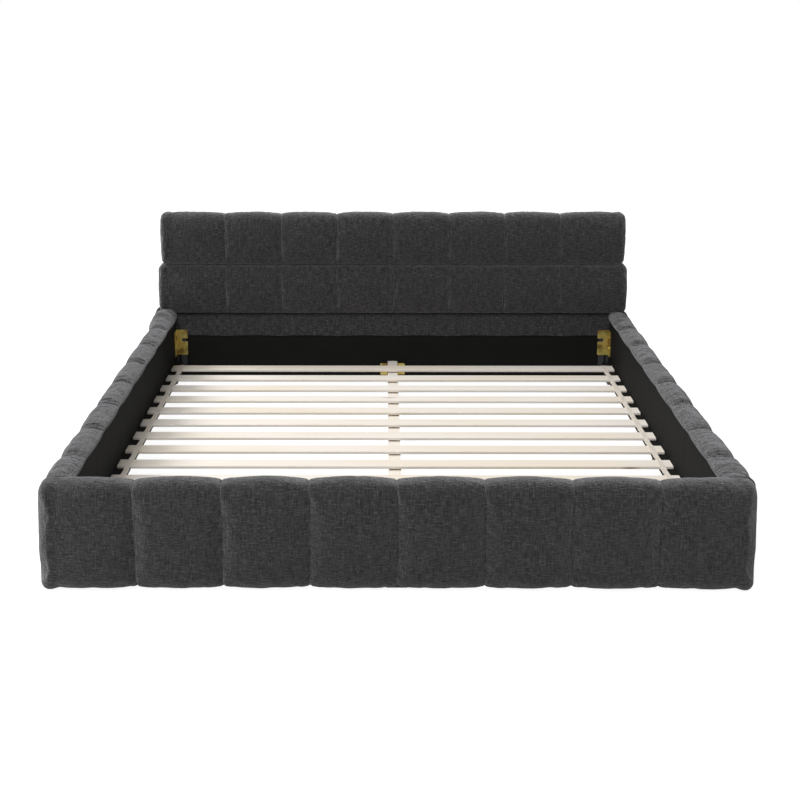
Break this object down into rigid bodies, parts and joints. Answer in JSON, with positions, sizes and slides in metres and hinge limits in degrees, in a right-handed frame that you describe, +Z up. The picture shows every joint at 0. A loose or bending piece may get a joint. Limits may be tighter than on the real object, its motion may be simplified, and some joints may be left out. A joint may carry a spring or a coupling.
{
  "type": "tatami platform bed",
  "caption": "Low upholstered platform bed with channel-tufted pads on the headboard, sides and end, and a slatted pine deck on a centre rail.",
  "frame": {"origin": "on the floor, in the middle of the bed's length and width", "axes": "+Z up; +Y along the bed from the end board to the headboard; X across the bed"},
  "size_m": [2.15, 2.2844, 0.81],
  "materials": {
    "upholstery": "charcoal chenille with lighter flecks, matte with a soft sheen",
    "lining_cloth": "black non-woven dust cloth",
    "plywood": "unfinished plywood, hidden by the upholstery",
    "pine": "pale sanded pine",
    "webbing": "cream woven webbing",
    "zinc_steel": "yellow zinc-plated pressed steel",
    "black_plastic": "moulded black plastic",
    "hardboard": "dark grey strip"
  },
  "bodies": {
    "root": {"headboard_panel": "plywood", "headboard_stile_left": "pine", "headboard_stile_right": "pine", "headboard_batten_top": "pine", "headboard_batten_middle": "pine", "headboard_batten_bottom": "pine", "headboard_back_cloth": "lining_cloth", "headboard_front_cloth": "lining_cloth", "headboard_strip": "upholstery", "headboard_lower_roll": "upholstery", "headboard_top_roll": "upholstery", "headboard_side_cover_left": "upholstery", "headboard_side_cover_right": "upholstery", "side_board_left": "plywood", "side_board_right": "plywood", "side_pad_left": "upholstery", "side_pad_right": "upholstery", "side_lining_left": "lining_cloth", "side_lining_right": "lining_cloth", "ledge_left": "pine", "ledge_right": "pine", "end_board": "plywood", "end_pad": "upholstery", "end_lining": "lining_cloth", "slat_01": "pine", "slat_02": "pine", "slat_03": "pine", "slat_04": "pine", "slat_05": "pine", "slat_06": "pine", "slat_07": "pine", "slat_08": "pine", "slat_09": "pine", "slat_10": "pine", "slat_11": "pine", "slat_12": "pine", "slat_13": "pine", "slat_tape_left": "webbing", "slat_tape_right": "webbing", "centre_rail_head": "pine", "centre_rail_foot": "pine", "centre_splice_plate": "zinc_steel", "centre_hanger_head": "zinc_steel", "centre_hanger_foot": "zinc_steel", "centre_leg_1": "black_plastic", "centre_leg_2": "black_plastic", "centre_leg_3": "black_plastic", "bracket_head_left": "zinc_steel", "bracket_head_right": "zinc_steel", "bracket_foot_left": "zinc_steel", "bracket_foot_right": "zinc_steel", "bracket_backing_strips": "hardboard", "bracket_bolts": "zinc_steel", "bracket_screws": "zinc_steel", "ledge_screws": "zinc_steel", "centre_rail_screws": "zinc_steel", "feet_headboard": "black_plastic", "feet_end_board": "black_plastic", "feet_side_boards": "black_plastic"}
  },
  "joints": []
}
